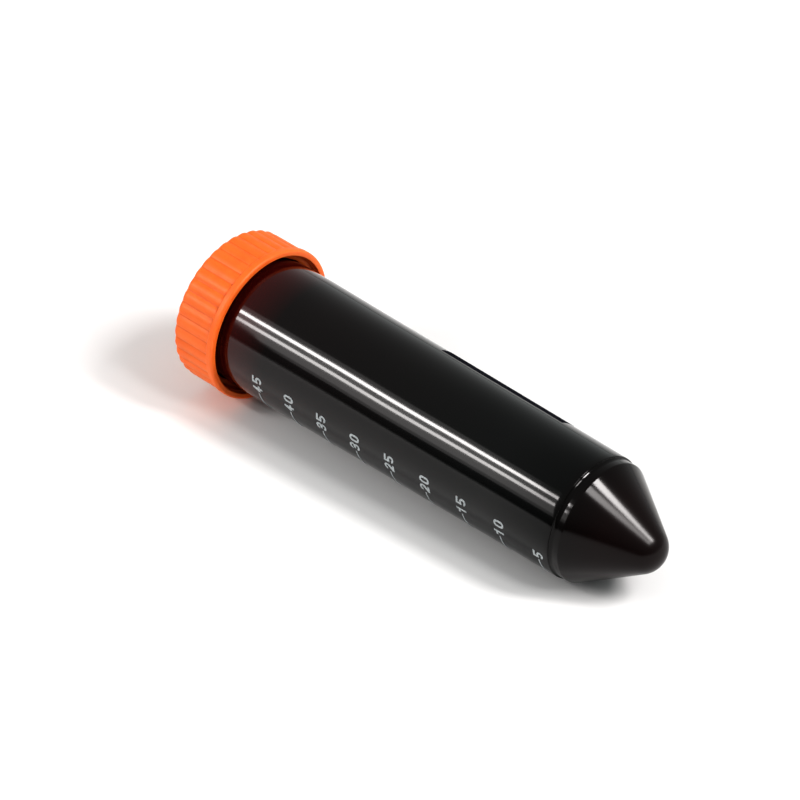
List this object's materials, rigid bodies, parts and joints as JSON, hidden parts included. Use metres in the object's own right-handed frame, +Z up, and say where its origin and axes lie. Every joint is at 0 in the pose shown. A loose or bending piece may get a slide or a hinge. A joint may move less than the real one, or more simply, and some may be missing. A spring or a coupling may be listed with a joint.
{
  "type": "conical centrifuge tube with screw cap",
  "caption": "Dark conical-bottom centrifuge tube with volume marks and a ribbed orange screw cap, lying on its side.",
  "frame": {"origin": "centre of the bounding box, on the surface that the tube lies on", "axes": "+X along the tube from the cap towards the tip, +Z up, +Y across; the tube's axis dips 2.4 degrees towards the tip, because it rests on the cap's flange and the end of the body"},
  "size_m": [0.1188, 0.0342, 0.0344],
  "materials": {
    "tube_plastic": "smooth glossy dark amber polypropylene that keeps light out",
    "cap_plastic": "satin orange moulded polyethylene",
    "seal_rubber": "smooth off-white silicone",
    "white_ink": "printed white ink",
    "panel_ink": "fine frosted texture that takes a marker"
  },
  "bodies": {
    "tube": {"tube_body": "tube_plastic", "graduation_lines": "white_ink", "graduation_numbers": "white_ink", "writing_panel": "panel_ink"},
    "seal": {"cap_seal": "seal_rubber"},
    "cap": {"screw_cap": "cap_plastic"}
  },
  "joints": [
    {"name": "cap_lift", "type": "slide", "parent": "tube", "child": "seal", "axis": [-0.9991, 0, 0.0412], "range_m": [0, 0.0161]},
    {"name": "cap_turn", "type": "hinge", "parent": "seal", "child": "cap", "pos_m": [-0.04738, 0, 0.0171], "axis": [-0.9991, 0, 0.0412], "range_deg": [0, 1800]}
  ],
  "couplings": [
    {"joint": "cap_lift", "follows": "cap_turn", "m_per_rad": 0.0005093}
  ]
}
